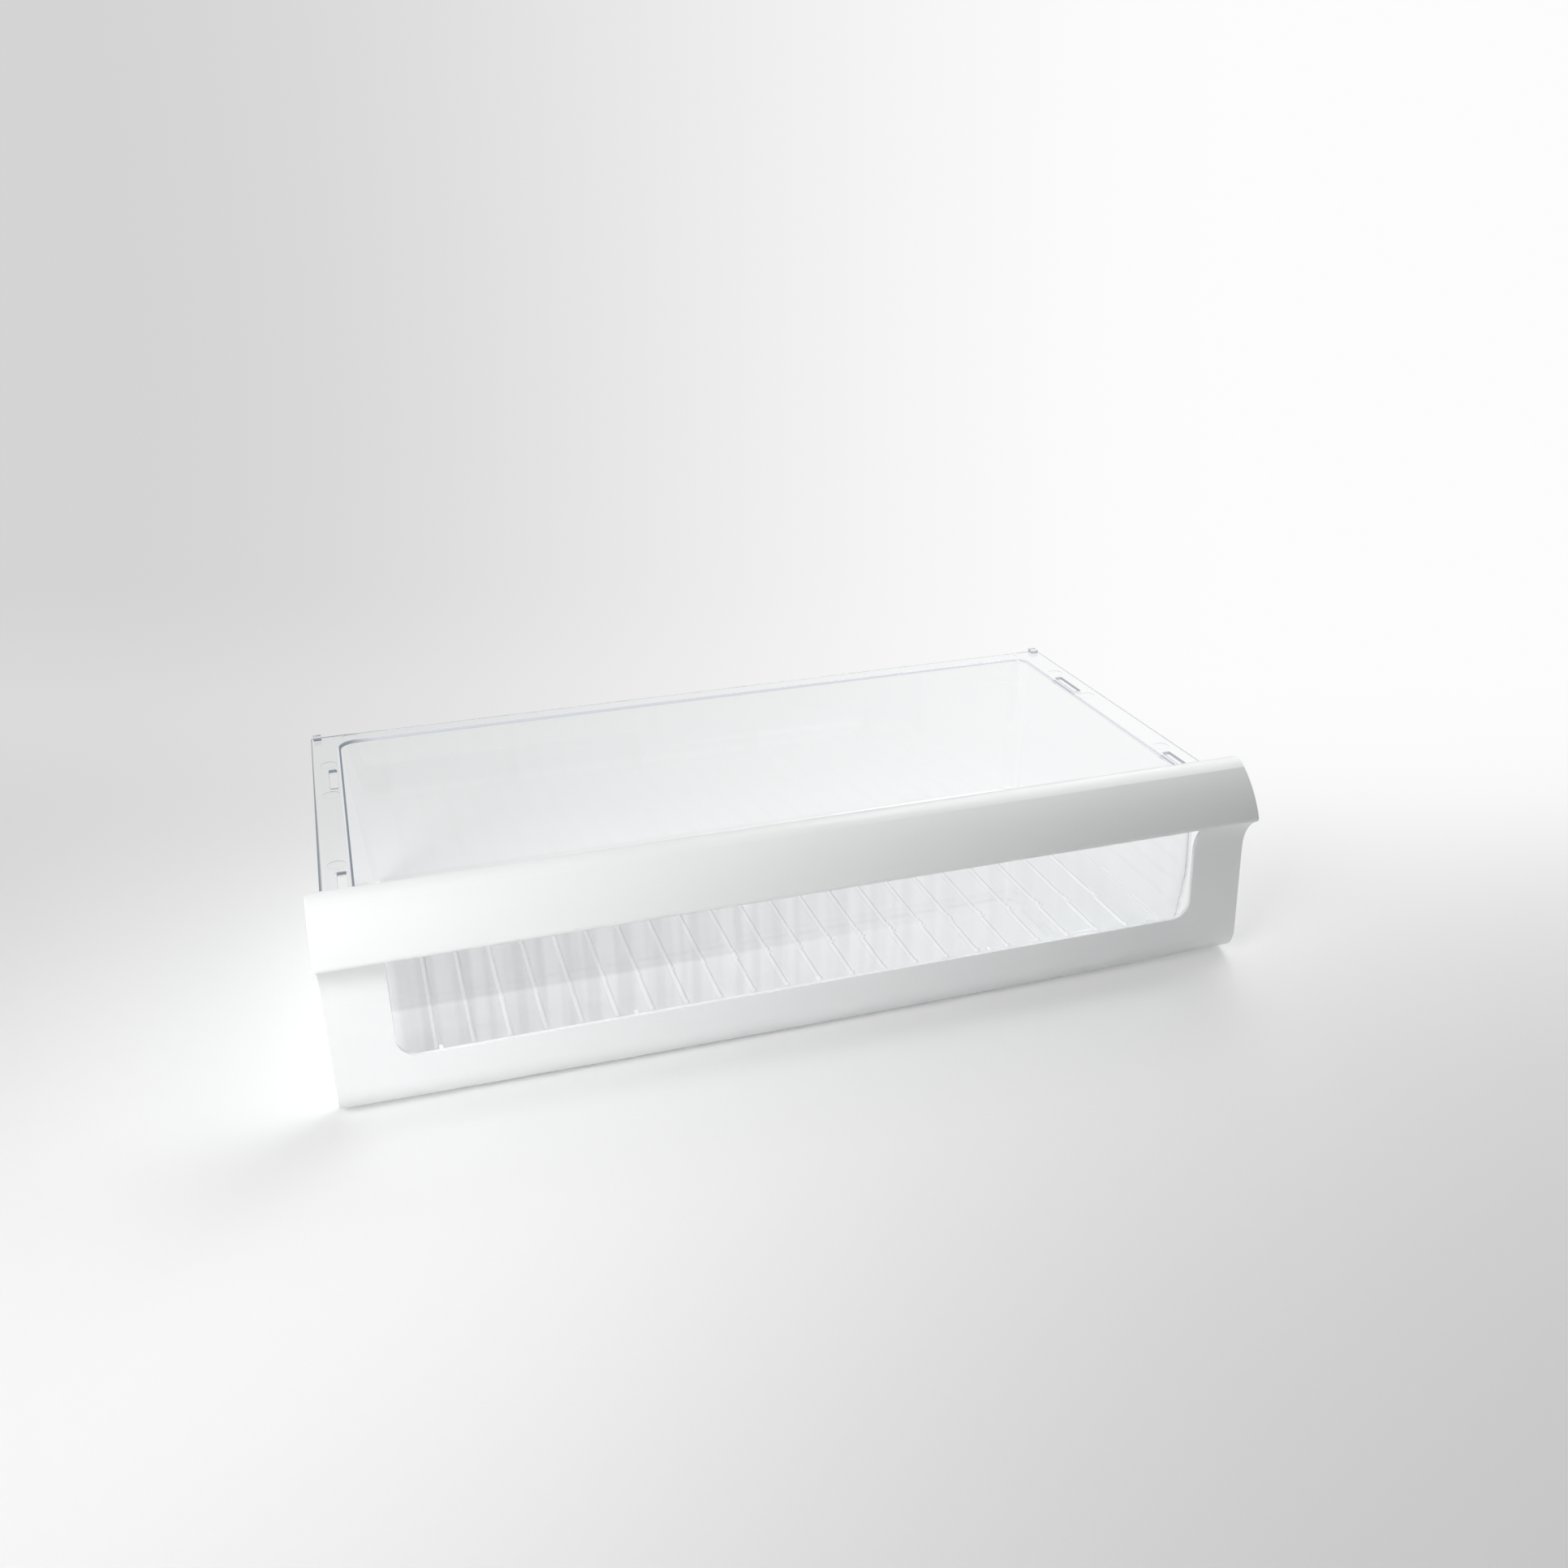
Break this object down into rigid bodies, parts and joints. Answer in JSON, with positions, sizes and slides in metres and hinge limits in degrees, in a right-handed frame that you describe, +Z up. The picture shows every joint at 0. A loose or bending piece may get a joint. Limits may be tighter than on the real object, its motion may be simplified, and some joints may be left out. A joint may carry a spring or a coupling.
{
  "type": "refrigerator deli drawer",
  "caption": "Wide shallow clear refrigerator pan with a ribbed floor and flat rail flanges, and a white front that clips on, with a rolled handle and an open window.",
  "frame": {"origin": "under the middle of the drawer, level with the lowest edge of the white front", "axes": "+X across the drawer to its right as seen from the front, +Y from the handle to the rear rim, +Z up"},
  "size_m": [0.66, 0.3488, 0.1552],
  "materials": {
    "clear_plastic": "clear, polished",
    "white_plastic": "smooth, semi-gloss"
  },
  "bodies": {
    "root": {"clear_tub": "clear_plastic", "handle_front": "white_plastic"}
  },
  "joints": []
}
